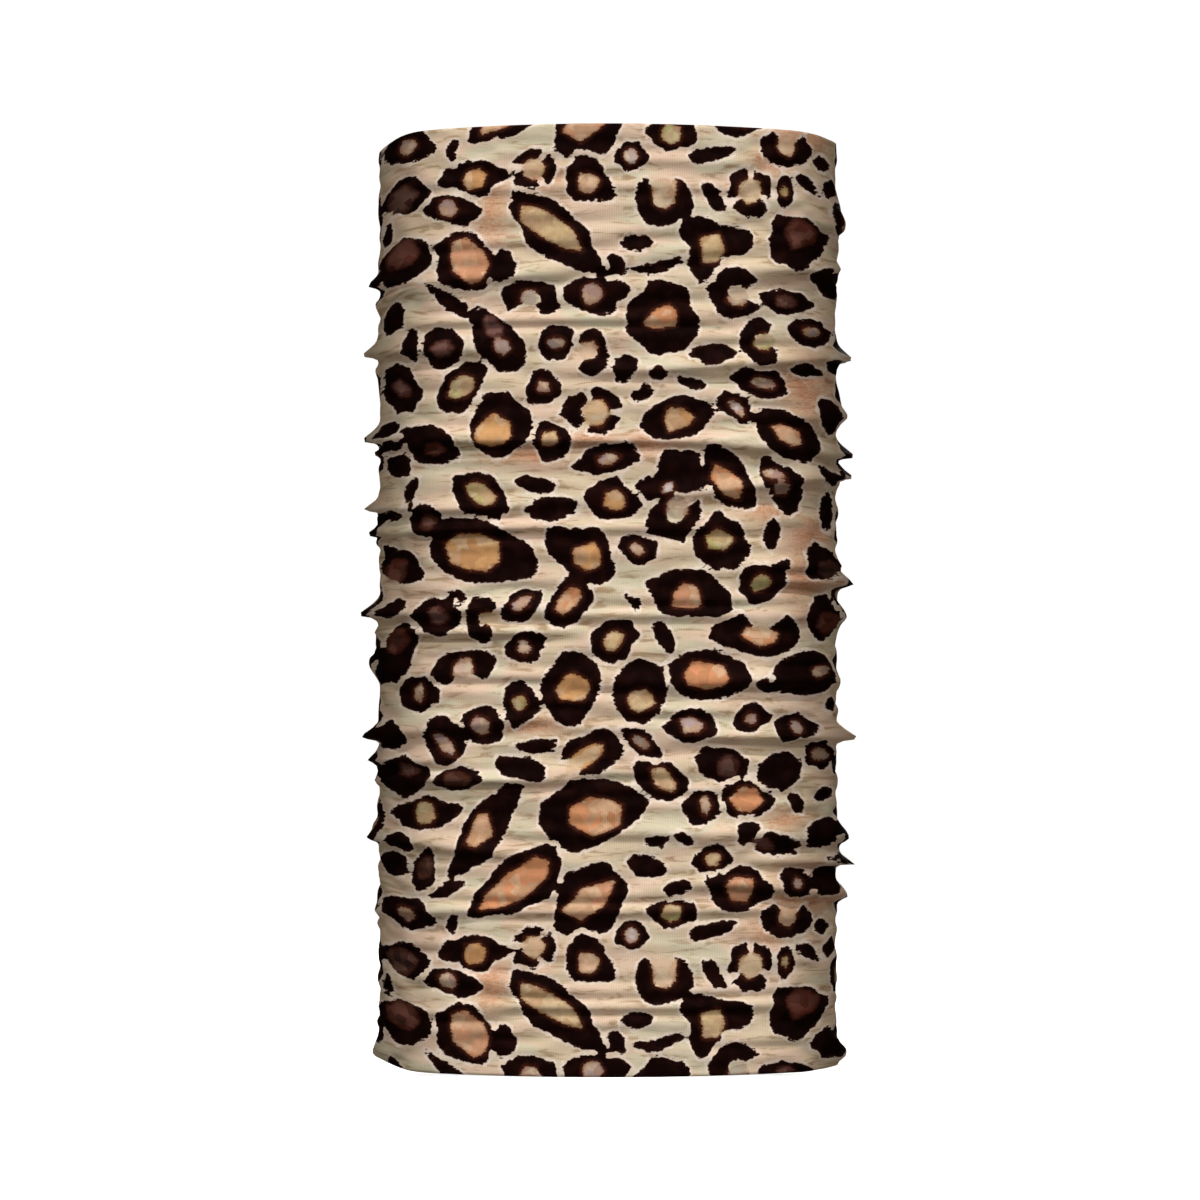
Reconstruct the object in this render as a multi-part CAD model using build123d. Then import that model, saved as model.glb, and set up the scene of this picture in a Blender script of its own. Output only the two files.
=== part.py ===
"""Neck gaiter: a printed knit panel wrapped into a tube and closed down the centre back by a flat seam.

Millimetres, +Z up the tube, front of the tube towards -Y, seam at the centre back (+Y).
The origin is the centre of the lower opening. The tube stands opened to a shallow oval.
"""

import math
import os

from build123d import *

# Panel: size of the finished tube and of the oval that it stands in
lay_flat_width = 250.0
tube_height = 490.0
oval_width = 235.6
side_fold_radius = 9.0
fabric_thickness = 0.6
butt_gap = 0.3

# Flat seam: two needle threads, a cover thread outside and a looper thread inside
needle_gauge = 4.8
stitch_pitch = 3.0
thread_width = 0.3
thread_height = 0.25
bight_length = 1.5
seam_end_margin = 4.5

# Bartacks that lock the seam at each end
bartack_width = 8.0
bartack_height = 1.8
bartack_edge = 1.2
bartack_leg = 0.8

# Care label: a folded loop of tape, sewn flat beside the seam inside the tube
label_width = 25.0
label_length = 34.0
label_tape = 0.15
label_fold_gap = 0.35
label_from_seam = 4.2
label_from_rim = 30.0
label_tack_inset = 2.0
label_tack_margin = 2.0
label_clearance = 0.03


def oval_arcs(half_depth):
    """Big arc radius and its half angle, for the oval whose side folds have side_fold_radius."""
    reach = oval_width / 2 - side_fold_radius
    radius = (reach**2 + half_depth**2 - side_fold_radius**2) / (2 * (half_depth - side_fold_radius))
    return radius, math.asin(reach / (radius - side_fold_radius))


def oval_perimeter(half_depth):
    """Length round the oval, which is twice the tube's lay-flat width."""
    radius, half_angle = oval_arcs(half_depth)
    return 4 * radius * half_angle + 4 * side_fold_radius * (math.pi / 2 - half_angle)


def solve_half_depth():
    """The half depth at which the whole lay-flat tube goes round the oval."""
    low, high = side_fold_radius + 1, oval_width / 2
    for _ in range(60):
        middle = (low + high) / 2
        if oval_perimeter(middle) < 2 * lay_flat_width:
            low = middle
        else:
            high = middle
    return low


half_depth = solve_half_depth()
big_radius, big_half_angle = oval_arcs(half_depth)
back_centre_y = half_depth - big_radius
half_thickness = fabric_thickness / 2


def back_wall_y(x, offset):
    """Y of the back wall at x, that far outside (+) or inside (-) the middle of the fabric."""
    return back_centre_y + math.sqrt((big_radius + offset) ** 2 - x**2)


def oval_face(offset):
    """The oval, that far outside (+) or inside (-) the middle of the fabric."""
    big_half = math.degrees(big_half_angle)
    side_half = 90 - big_half
    side_x = oval_width / 2 - side_fold_radius
    edges = [
        CenterArc((side_x, 0), side_fold_radius + offset, -side_half, 2 * side_half),
        CenterArc((0, back_centre_y), big_radius + offset, side_half, 2 * big_half),
        CenterArc((-side_x, 0), side_fold_radius + offset, 180 - side_half, 2 * side_half),
        CenterArc((0, -back_centre_y), big_radius + offset, 180 + side_half, 2 * big_half),
    ]
    return make_face(edges)


def slab(x_from, x_to, y_from, y_to, z_from, z_to):
    """A box between two corners."""
    size = (x_to - x_from, y_to - y_from, z_to - z_from)
    middle = ((x_from + x_to) / 2, (y_from + y_to) / 2, (z_from + z_to) / 2)
    return Pos(*middle) * Box(*size)


def tube_panel():
    """The panel of knit fabric, wrapped round the oval with its two long edges butted at the back."""
    ring = oval_face(half_thickness) - oval_face(-half_thickness)
    gap = slab(-butt_gap / 2, butt_gap / 2, 0, 2 * half_depth, -1, tube_height + 1)
    return extrude(ring, amount=tube_height) - gap


def zigzag_thread(y_from):
    """A thread laid flat in a zigzag between the two needle lines, for the length of the seam."""
    mitre = thread_width / 2 / math.sin(math.atan2(stitch_pitch / 2, needle_gauge))
    middle = [
        ((-1) ** i * needle_gauge / 2, seam_end_margin + i * stitch_pitch / 2)
        for i in range(2 * seam_stitches + 1)
    ]
    outline = [(x + mitre, y_from, z) for x, z in middle]
    outline += [(x - mitre, y_from, z) for x, z in reversed(middle)]
    return extrude(make_face(Polyline(*outline, close=True)), amount=thread_height, dir=(0, 1, 0))


def stitched_thread(x, z_from, stitches, y_outer, y_inner):
    """A needle thread: a run outside, and at each stitch a leg through the cloth to a bight inside."""
    z_to = z_from + stitches * stitch_pitch
    half_leg, half_bight = thread_width / 2, bight_length / 2
    y_top, y_bight = y_outer + thread_height, y_inner - thread_height
    outline = [(y_outer, z_from), (y_top, z_from), (y_top, z_to), (y_outer, z_to)]
    for i in reversed(range(stitches)):
        z = z_from + (i + 0.5) * stitch_pitch
        outline += [(y_outer, z + half_leg), (y_inner, z + half_leg), (y_inner, z + half_bight)]
        outline += [(y_bight, z + half_bight), (y_bight, z - half_bight), (y_inner, z - half_bight)]
        outline += [(y_inner, z - half_leg), (y_outer, z - half_leg)]
    points = [(x - thread_width / 2, y, z) for y, z in outline]
    return extrude(make_face(Polyline(*points, close=True)), amount=thread_width, dir=(1, 0, 0))


def bartack(z_from):
    """A bartack across the butted edges: a bar outside, a bar inside and a leg through the cloth at each end."""
    y_out = back_wall_y(0, half_thickness)
    y_in = back_wall_y(bartack_width / 2, -half_thickness)
    half = bartack_width / 2
    z_to = z_from + bartack_height
    block = slab(-half, half, y_in - thread_height, y_out + thread_height, z_from, z_to)
    hole = slab(-half + bartack_leg, half - bartack_leg, y_in, y_out, z_from, z_to)
    return block - hole


def arc_strip(offset_from, offset_to, x_from, x_to, z_from, z_to):
    """A strip that follows the back wall, between two offsets from the middle of the fabric."""
    outer = Pos(0, back_centre_y) * Circle(big_radius + offset_to)
    inner = Pos(0, back_centre_y) * Circle(big_radius + offset_from)
    ring = Pos(0, 0, z_from) * extrude(outer - inner, amount=z_to - z_from)
    return ring & slab(x_from, x_to, 0, 2 * half_depth, z_from, z_to)


def care_label():
    """The folded label: two layers joined at the fold, which is the end away from the seam."""
    top = -half_thickness - label_clearance
    bottom = top - 2 * label_tape - label_fold_gap
    x_from, x_to = label_from_seam, label_from_seam + label_length
    z_from, z_to = label_from_rim, label_from_rim + label_width
    whole = arc_strip(bottom, top, x_from, x_to, z_from, z_to)
    inside = arc_strip(bottom + label_tape, top - label_tape, x_from, x_to - label_tape, z_from, z_to)
    return whole - inside


def label_tack():
    """The row of stitches that holds the label's cut ends to the panel."""
    x = label_from_seam + label_tack_inset
    stitches = int((label_width - 2 * label_tack_margin) / stitch_pitch)
    z_from = label_from_rim + (label_width - stitches * stitch_pitch) / 2
    label_depth = label_clearance + 2 * label_tape + label_fold_gap
    y_inner = back_wall_y(x + thread_width / 2, -half_thickness - label_depth)
    return stitched_thread(x, z_from, stitches, back_wall_y(x, half_thickness), y_inner)


def needle_thread(side, z_from, stitches):
    """A needle thread of the seam: over the cover thread outside, and under the looper thread inside."""
    y_outer, y_inner = seam_outer_y + thread_height, seam_inner_y - thread_height
    return stitched_thread(side * needle_gauge / 2, z_from, stitches, y_outer, y_inner)


seam_stitches = int((tube_height - 2 * seam_end_margin) / stitch_pitch)
seam_outer_y = back_wall_y(0, half_thickness)
seam_inner_y = back_wall_y(needle_gauge, -half_thickness)

# The left legs are half a stitch out of step with the right ones, so both miss the zigzags' corners
parts = {
    "tube_panel": tube_panel(),
    "seam_cover_thread": zigzag_thread(seam_outer_y),
    "seam_looper_thread": zigzag_thread(seam_inner_y - thread_height),
    "seam_left_needle_thread": needle_thread(-1, seam_end_margin + stitch_pitch / 2, seam_stitches - 1),
    "seam_right_needle_thread": needle_thread(1, seam_end_margin, seam_stitches),
    "upper_bartack_thread": bartack(tube_height - bartack_edge - bartack_height),
    "lower_bartack_thread": bartack(bartack_edge),
    "care_label": care_label(),
    "label_tack_thread": label_tack(),
}

os.makedirs("parts", exist_ok=True)
for name, shape in parts.items():
    export_step(shape, f"parts/{name}.step")

print("half depth", round(half_depth, 3), "big radius", round(big_radius, 2))
print("seam stitches", seam_stitches)
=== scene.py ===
"""Neck gaiter: a tube of thin leopard-print jersey, slipped over a display form and pushed together a little.

The tube is simulated as cloth, then built as a fine mesh with real thickness. The print is a list of
rosettes, turned into distances that the material thresholds. Lengths in the tables are millimetres,
across the cloth from the centre front (u, to the wearer's left) and up it from the lower rim (v).
"""

import math

import bpy
import numpy as np
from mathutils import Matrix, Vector


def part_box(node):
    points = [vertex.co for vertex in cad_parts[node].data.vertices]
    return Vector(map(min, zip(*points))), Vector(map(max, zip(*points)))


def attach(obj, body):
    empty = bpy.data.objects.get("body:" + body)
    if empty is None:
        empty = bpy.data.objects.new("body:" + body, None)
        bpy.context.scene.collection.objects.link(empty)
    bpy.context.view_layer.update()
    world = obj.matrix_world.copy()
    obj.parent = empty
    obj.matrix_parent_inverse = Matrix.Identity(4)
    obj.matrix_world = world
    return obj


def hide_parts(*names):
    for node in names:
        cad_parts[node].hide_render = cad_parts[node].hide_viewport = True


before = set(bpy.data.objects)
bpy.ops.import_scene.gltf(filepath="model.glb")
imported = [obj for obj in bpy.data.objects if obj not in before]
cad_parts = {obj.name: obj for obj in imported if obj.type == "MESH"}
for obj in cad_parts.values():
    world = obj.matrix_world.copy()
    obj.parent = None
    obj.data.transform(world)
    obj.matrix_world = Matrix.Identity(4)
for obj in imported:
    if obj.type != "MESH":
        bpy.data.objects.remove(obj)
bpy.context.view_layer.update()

MM = 0.001

# ---------------------------------------------------------------- sizes

FABRIC_THICKNESS = 0.6
SIDE_FOLD_RADIUS = 9.0
CUT_LENGTH = 512.0
BUTT_GAP = 0.1

panel_low, panel_high = [[1000 * c for c in corner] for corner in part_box("tube_panel")]
HEIGHT = panel_high[2] - panel_low[2]
HALF_WIDTH = (panel_high[0] - panel_low[0] - FABRIC_THICKNESS) / 2
HALF_DEPTH = (panel_high[1] - panel_low[1] - FABRIC_THICKNESS) / 2

# The oval is two shallow arcs, front and back, joined by a small arc at each side fold
REACH = HALF_WIDTH - SIDE_FOLD_RADIUS
BIG_RADIUS = (REACH**2 + HALF_DEPTH**2 - SIDE_FOLD_RADIUS**2) / (2 * (HALF_DEPTH - SIDE_FOLD_RADIUS))
BIG_ANGLE = math.asin(REACH / (BIG_RADIUS - SIDE_FOLD_RADIUS))
FRONT_ARC = BIG_RADIUS * BIG_ANGLE
SIDE_ARC = SIDE_FOLD_RADIUS * (math.pi - 2 * BIG_ANGLE)
PERIMETER = 4 * FRONT_ARC + 2 * SIDE_ARC
FOLD_U = PERIMETER / 4


def oval(u, offset=0.0):
    """Points and outward normals of the oval at u millimetres from the centre front, as (x, y, nx, ny)."""
    u = wrapped(u)
    side, far = np.where(u < 0, -1.0, 1.0), np.abs(u)
    front, back = far <= FRONT_ARC, far > FRONT_ARC + SIDE_ARC
    angle = BIG_ANGLE + (far - FRONT_ARC) / SIDE_FOLD_RADIUS
    angle = np.where(front, far / BIG_RADIUS, angle)
    angle = np.where(back, math.pi - (PERIMETER / 2 - far) / BIG_RADIUS, angle)
    centre_x = np.where(front | back, 0.0, REACH)
    centre_y = np.where(front, BIG_RADIUS - HALF_DEPTH, np.where(back, HALF_DEPTH - BIG_RADIUS, 0.0))
    radius = np.where(front | back, BIG_RADIUS, SIDE_FOLD_RADIUS) + offset
    nx, ny = np.sin(angle), -np.cos(angle)
    return (centre_x + radius * nx) * side, centre_y + radius * ny, nx * side, ny


def bell(distance, width):
    """1 at no distance, falling smoothly to 0 over about twice the width."""
    return np.exp(-((distance / width) ** 2))


# ---------------------------------------------------------------- cloth

# Creases that start at a side fold: side, height, reach over the front, reach over the back,
# rise by the crease's end, how far it stands out at the fold, half width
CREASES = [
    (-1, 408, 115, 60, 6, 4.5, 4),
    (-1, 373, 110, 80, 4, 8.5, 5),
    (-1, 329, 150, 90, 0, 8.3, 5),
    (-1, 293, 103, 50, 0, 7.8, 3.5),
    (-1, 280, 105, 70, 4, 6, 3.2),
    (-1, 239, 125, 60, 2, 8, 4.5),
    (-1, 229, 115, 60, 0, 0, 3),
    (-1, 212, 40, 60, 0, 2.4, 12),
    (-1, 175.5, 108, 80, 12, 6.5, 5),
    (-1, 163, 50, 40, 0, 3.6, 3.5),
    (-1, 152, 120, 40, 2, 0.5, 4),
    (-1, 124, 95, 70, -13, 6, 5),
    (-1, 85, 60, 60, 0, 0.5, 4),
    (-1, 12, 20, 20, 0, 3.6, 7),
    (1, 440, 30, 50, 0, 4.3, 10),
    (1, 416, 65, 70, 0, 0.5, 5),
    (1, 371, 155, 60, -10, 8, 4.5),
    (1, 341, 30, 40, 0, 4, 9),
    (1, 320.5, 98, 70, 7, 8, 4.5),
    (1, 310, 93, 60, -11, 8.5, 3.5),
    (1, 263, 65, 70, 0, 0, 4),
    (1, 254.5, 60, 60, 3, 6.2, 5),
    (1, 237, 45, 70, 0, 3, 8),
    (1, 204, 115, 50, 0, 0.5, 5),
    (1, 175.5, 105, 80, 0, 8.4, 5),
    (1, 123, 130, 50, 0, 3.5, 9),
    (1, 110.5, 60, 70, 0, 9, 2.8),
    (1, 93, 95, 60, 10, 3.5, 5),
    (1, 10.5, 20, 20, 0, 5, 7),
]
EAR_LENGTH, EAR_TAPER, EAR_DROOP, DROOPS_FROM = 13.0, 1.5, 0.2, 1.5

# Near a side fold the inner layer keeps back by this much, and by this share of the creases' height
KEPT_BACK, KEPT_BACK_SHARE, KEPT_BACK_WITHIN = 0.2, 0.25, 32.0

# A crease is wider above its ridge than below it, and lower where it meets a side fold, beside its ear
ABOVE_RIDGE, BELOW_RIDGE = 1.2, 0.72
LOST_AT_FOLD = 0.6
WIDTH_AT_FOLD, WIDTH_GAINED = 0.75, 0.5

# How creases are shaped before the cloth settles and after it: how far they stand out, the share of
# their ears, their width against the table's, and how square their tops are
BEFORE_SETTLING = (1.3, 0.15, 1.1, 2.0)
AFTER_SETTLING = (4.3, 0.92, 0.9, 1.7)

# How far the lower rim lifts and the upper rim droops: towards both side folds, and more close to each
RIM_LIFT, LEFT_LIFT, RIGHT_LIFT = 3.0, 7.0, 2.5
RIM_DROOP, LEFT_DROOP, RIGHT_DROOP = 5.0, 9.0, 4.5
NEAR_FOLD, RIM_MARGIN = 14.0, 15.0
OUT_OF_REACH = 9999.0

SIM_COLUMNS, SIM_ROWS = 100, 110
SIM_FRAMES, LOWERED_BY_FRAME = 40, 25
SMOOTH_BELOW, SMOOTH_ABOVE = 60.0, 85.0
HELD_LOOSELY, HELD_AT_FOLD, HELD_NEAR_RIM = 0.01, 0.25, 0.4
FOLD_HOLD_WIDTH, UNEVENNESS, UNEVENNESS_SEED = 12.0, 0.12, 5
FORM_COLUMNS, FORM_ROWS = 160, 60
FORM_CLEARANCE, FORM_OVERHANG = 2.5, 15.0


def wrapped(u):
    """The same places on the tube, from the seam (-) round the front to the seam again (+)."""
    return (np.asarray(u, float) + PERIMETER / 2) % PERIMETER - PERIMETER / 2


def fold_distance(u, side):
    """How far u lies from that side fold over the front and over the back, one being OUT_OF_REACH."""
    over_front = np.where(np.sign(u) == side, FOLD_U - np.abs(u), FOLD_U + np.abs(u))
    on_front = np.abs(u) <= FOLD_U
    over_back = np.where(np.sign(u) == side, np.abs(u) - FOLD_U, OUT_OF_REACH)
    return np.where(on_front, over_front, OUT_OF_REACH), np.where(on_front, OUT_OF_REACH, over_back)


def crease_height(u, z, body, ear_share, narrowing, sharpness):
    """How far the creases, with their ears at the side folds, stand out from the oval at (u, z)."""
    low, high = rim_heights(u)
    off_rim = np.clip(np.minimum(z - low, high - z) / RIM_MARGIN, 0, 1)
    total = 0.0
    for side, height, reach_front, reach_back, rise, ear, width in CREASES:
        front, back = fold_distance(u, side)
        along = np.clip(np.minimum(front / reach_front, back / reach_back), 0, 1)
        from_fold = np.minimum(front, back) / EAR_LENGTH
        at_fold = np.exp(-(from_fold**EAR_TAPER))
        stands_out = body * (1 - along**2) * off_rim * (1 - LOST_AT_FOLD * at_fold)
        stands_out = stands_out + ear_share * ear * at_fold
        above = z - height - rise * along
        lean = np.where(above > 0, ABOVE_RIDGE, BELOW_RIDGE)
        off = np.abs(above) / (lean * narrowing * width * (WIDTH_AT_FOLD + WIDTH_GAINED * along))
        total = total + stands_out * np.exp(-(off**sharpness))
    return total


def rim_heights(u):
    """Heights of the lower and upper rims round the tube: they rise and droop towards the side folds."""
    from_fold = np.abs(np.abs(u) - FOLD_U)
    to_fold = (1 - from_fold / FOLD_U) ** 2
    near_fold = bell(from_fold, NEAR_FOLD)
    lift = RIM_LIFT * to_fold + np.where(u < 0, LEFT_LIFT, RIGHT_LIFT) * near_fold
    droop = RIM_DROOP * to_fold + np.where(u < 0, LEFT_DROOP, RIGHT_DROOP) * near_fold
    return lift, HEIGHT - droop


def grid_points(x, y, z):
    """A grid of points, from coordinates that may each be the same along its rows or its columns."""
    return np.stack(np.broadcast_arrays(x, y, z), axis=-1)


def tube_points(u, z, stands_out, length=HEIGHT):
    """A grid of points round the oval, rows of z from rim to rim, moved outwards by stands_out."""
    x, y, nx, ny = oval(u)
    low, high = rim_heights(u)
    up = (low + (high - low) * z[:, None] / HEIGHT) * (length / HEIGHT)
    return grid_points(x + nx * stands_out, y + ny * stands_out, up)


def mesh_object(name, vertices, faces):
    """A new mesh object in the scene, from points in millimetres."""
    mesh = bpy.data.meshes.new(name)
    mesh.from_pydata((np.asarray(vertices).reshape(-1, 3) * MM).tolist(), [], faces)
    piece = bpy.data.objects.new(name, mesh)
    bpy.context.scene.collection.objects.link(piece)
    return piece


def ring_faces(rows, columns):
    """Quads of a grid that closes on itself across its columns."""
    index = np.arange(rows * columns).reshape(rows, columns)
    beside = np.roll(index, -1, axis=1)
    corners = (index[:-1], beside[:-1], beside[1:], index[1:])
    return np.stack(corners, axis=-1).reshape(-1, 4).tolist()


def display_form():
    """The form inside the tube, which the cloth can't pass."""
    x, y, _, _ = oval(np.arange(FORM_COLUMNS) / FORM_COLUMNS * PERIMETER, -FORM_CLEARANCE)
    z = np.linspace(-FORM_OVERHANG, CUT_LENGTH + FORM_OVERHANG, FORM_ROWS)
    form = mesh_object("display_form", grid_points(x, y, z[:, None]), ring_faces(FORM_ROWS, FORM_COLUMNS))
    form.modifiers.new("collision", "COLLISION")
    form.collision.thickness_outer = 0.001
    form.collision.cloth_friction = 5
    return form


def pin_weights(u, z):
    """How firmly each cloth point follows the lowering: the rims fully, the smooth cloth beside them and
    the side folds a little, the rest hardly."""
    weights = np.full((SIM_ROWS, SIM_COLUMNS), HELD_LOOSELY)
    weights = np.maximum(weights, HELD_AT_FOLD * bell(np.abs(u) - FOLD_U, FOLD_HOLD_WIDTH)[None, :])
    into_cloth = np.minimum(z / SMOOTH_BELOW, (HEIGHT - z) / SMOOTH_ABOVE)
    weights = np.maximum(weights, HELD_NEAR_RIM * np.clip(1 - into_cloth, 0, 1)[:, None])
    weights[0] = weights[-1] = 1.0
    return weights.reshape(-1)


def simulate_cloth():
    """The crumpled tube, as a closed grid of points: cut to length, slipped on the form and pushed down."""
    u = wrapped(np.arange(SIM_COLUMNS) / SIM_COLUMNS * PERIMETER)
    z = np.linspace(0, HEIGHT, SIM_ROWS)
    stands_out = crease_height(u, z[:, None], *BEFORE_SETTLING)
    stands_out += np.random.default_rng(UNEVENNESS_SEED).normal(0, UNEVENNESS, (SIM_ROWS, SIM_COLUMNS))
    lowered = tube_points(u, z, stands_out)
    unlowered = tube_points(u, z, stands_out, CUT_LENGTH)
    cloth = mesh_object("cloth", unlowered, ring_faces(SIM_ROWS, SIM_COLUMNS))
    cloth.shape_key_add(name="Basis")
    key = cloth.shape_key_add(name="lowered")
    key.data.foreach_set("co", (lowered * MM).reshape(-1))
    for value, at_frame in ((0, 1), (1, LOWERED_BY_FRAME)):
        key.value = value
        key.keyframe_insert("value", frame=at_frame)
    pins = cloth.vertex_groups.new(name="pins")
    for index, weight in enumerate(pin_weights(u, z)):
        pins.add([index], float(weight), "REPLACE")
    form = display_form()
    settled = settle(cloth, cloth_modifier(cloth))
    for helper in (cloth, form):
        mesh = helper.data
        bpy.data.objects.remove(helper)
        bpy.data.meshes.remove(mesh)
    return settled.reshape(SIM_ROWS, SIM_COLUMNS, 3) / MM


def cloth_modifier(cloth):
    """Thin knit: light, slow to swing, and soft enough to gather into small folds."""
    modifier = cloth.modifiers.new("cloth", "CLOTH")
    settings = modifier.settings
    settings.quality = 5
    settings.mass = 0.15
    settings.tension_stiffness = settings.compression_stiffness = 8
    settings.shear_stiffness = 3
    settings.bending_stiffness = 0.05
    settings.tension_damping = settings.compression_damping = settings.shear_damping = 5
    settings.bending_damping = 0.5
    settings.air_damping = 2
    settings.vertex_group_mass = "pins"
    settings.pin_stiffness = 1.0
    settings.effector_weights.gravity = 0.03
    modifier.collision_settings.distance_min = 0.001
    modifier.collision_settings.collision_quality = 2
    modifier.collision_settings.use_self_collision = False
    return modifier


def settle(cloth, modifier):
    """Where the cloth's points come to rest."""
    scene = bpy.context.scene
    scene.frame_start, scene.frame_end = 1, SIM_FRAMES
    modifier.point_cache.frame_start, modifier.point_cache.frame_end = 1, SIM_FRAMES
    for number in range(1, SIM_FRAMES + 1):
        scene.frame_set(number)
    settled = cloth.evaluated_get(bpy.context.evaluated_depsgraph_get()).data
    points = np.empty(len(settled.vertices) * 3)
    settled.vertices.foreach_get("co", points)
    scene.frame_set(1)
    return points


NORMAL_STEP = 1.4


def smooth_weights(t):
    """Catmull-Rom weights of the four points about a place t of the way between the middle two."""
    return (
        ((2 - t) * t - 1) * t / 2,
        (t * t * (3 * t - 5) + 2) / 2,
        ((4 - 3 * t) * t + 1) * t / 2,
        (t - 1) * t * t / 2,
    )


class Cloth:
    """The settled cloth as a smooth surface over (u, v), v running from 0 to CUT_LENGTH."""

    def __init__(self, grid):
        first, last = 2 * grid[:1] - grid[1:2], 2 * grid[-1:] - grid[-2:-1]
        self.grid = np.concatenate([first, grid, last])
        self.rows, self.columns = grid.shape[:2]

    def point(self, u, v):
        """The middle of the fabric: the settled grid, and the creases too sharp for the simulation."""
        settled = self.settled(u, v)
        _, _, nx, ny = oval(u)
        sharp = self.sharp(u, settled)
        settled[..., 0] += nx * sharp
        settled[..., 1] += ny * sharp
        settled[..., 2] -= EAR_DROOP * np.maximum(sharp - DROOPS_FROM, 0)
        return settled

    def sharp(self, u, settled):
        """How far the creases stand out from a settled point."""
        return crease_height(wrapped(u), settled[..., 2], *AFTER_SETTLING)

    def kept_back(self, u, v):
        """How far the inner layer keeps back near the side folds, so that it does not poke out."""
        _, _, nx, ny = oval(u)
        from_fold = np.abs(np.abs(u) - FOLD_U)
        back = KEPT_BACK + KEPT_BACK_SHARE * self.sharp(u, self.settled(u, v))
        back = back * bell(from_fold, KEPT_BACK_WITHIN)
        return np.stack([nx * back, ny * back, 0 * back], axis=-1)

    def settled(self, u, v):
        """The settled grid alone, smoothly between its points."""
        u, v = np.broadcast_arrays(np.asarray(u, float), np.asarray(v, float))
        across = (u / PERIMETER * self.columns) % self.columns
        up = np.clip(v / CUT_LENGTH, 0, 1) * (self.rows - 1)
        column = np.floor(across).astype(int)
        row = np.minimum(np.floor(up).astype(int), self.rows - 2)
        weights_across, weights_up = smooth_weights(across - column), smooth_weights(up - row)
        total = np.zeros(u.shape + (3,))
        for i, weight_up in enumerate(weights_up):
            for j, weight_across in enumerate(weights_across):
                corner = self.grid[row + i, (column + j - 1) % self.columns]
                total += corner * (weight_up * weight_across)[..., None]
        return total

    def normal(self, u, v):
        """The outward normal, from points a small step to either side."""
        across = self.point(u + NORMAL_STEP, v) - self.point(u - NORMAL_STEP, v)
        v_low, v_high = np.maximum(v - NORMAL_STEP, 0), np.minimum(v + NORMAL_STEP, CUT_LENGTH)
        up = self.point(u, v_high) - self.point(u, v_low)
        normal = np.cross(across, up)
        return normal / np.linalg.norm(normal, axis=-1, keepdims=True)

    def above(self, u, v, height):
        """A point that far outside (+) or inside (-) the middle of the fabric."""
        return self.point(u, v) + self.normal(u, v) * np.asarray(height, float)[..., None]


# ---------------------------------------------------------------- print

REPEAT_V = 419.0
REPEAT_U = 250.0

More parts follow.
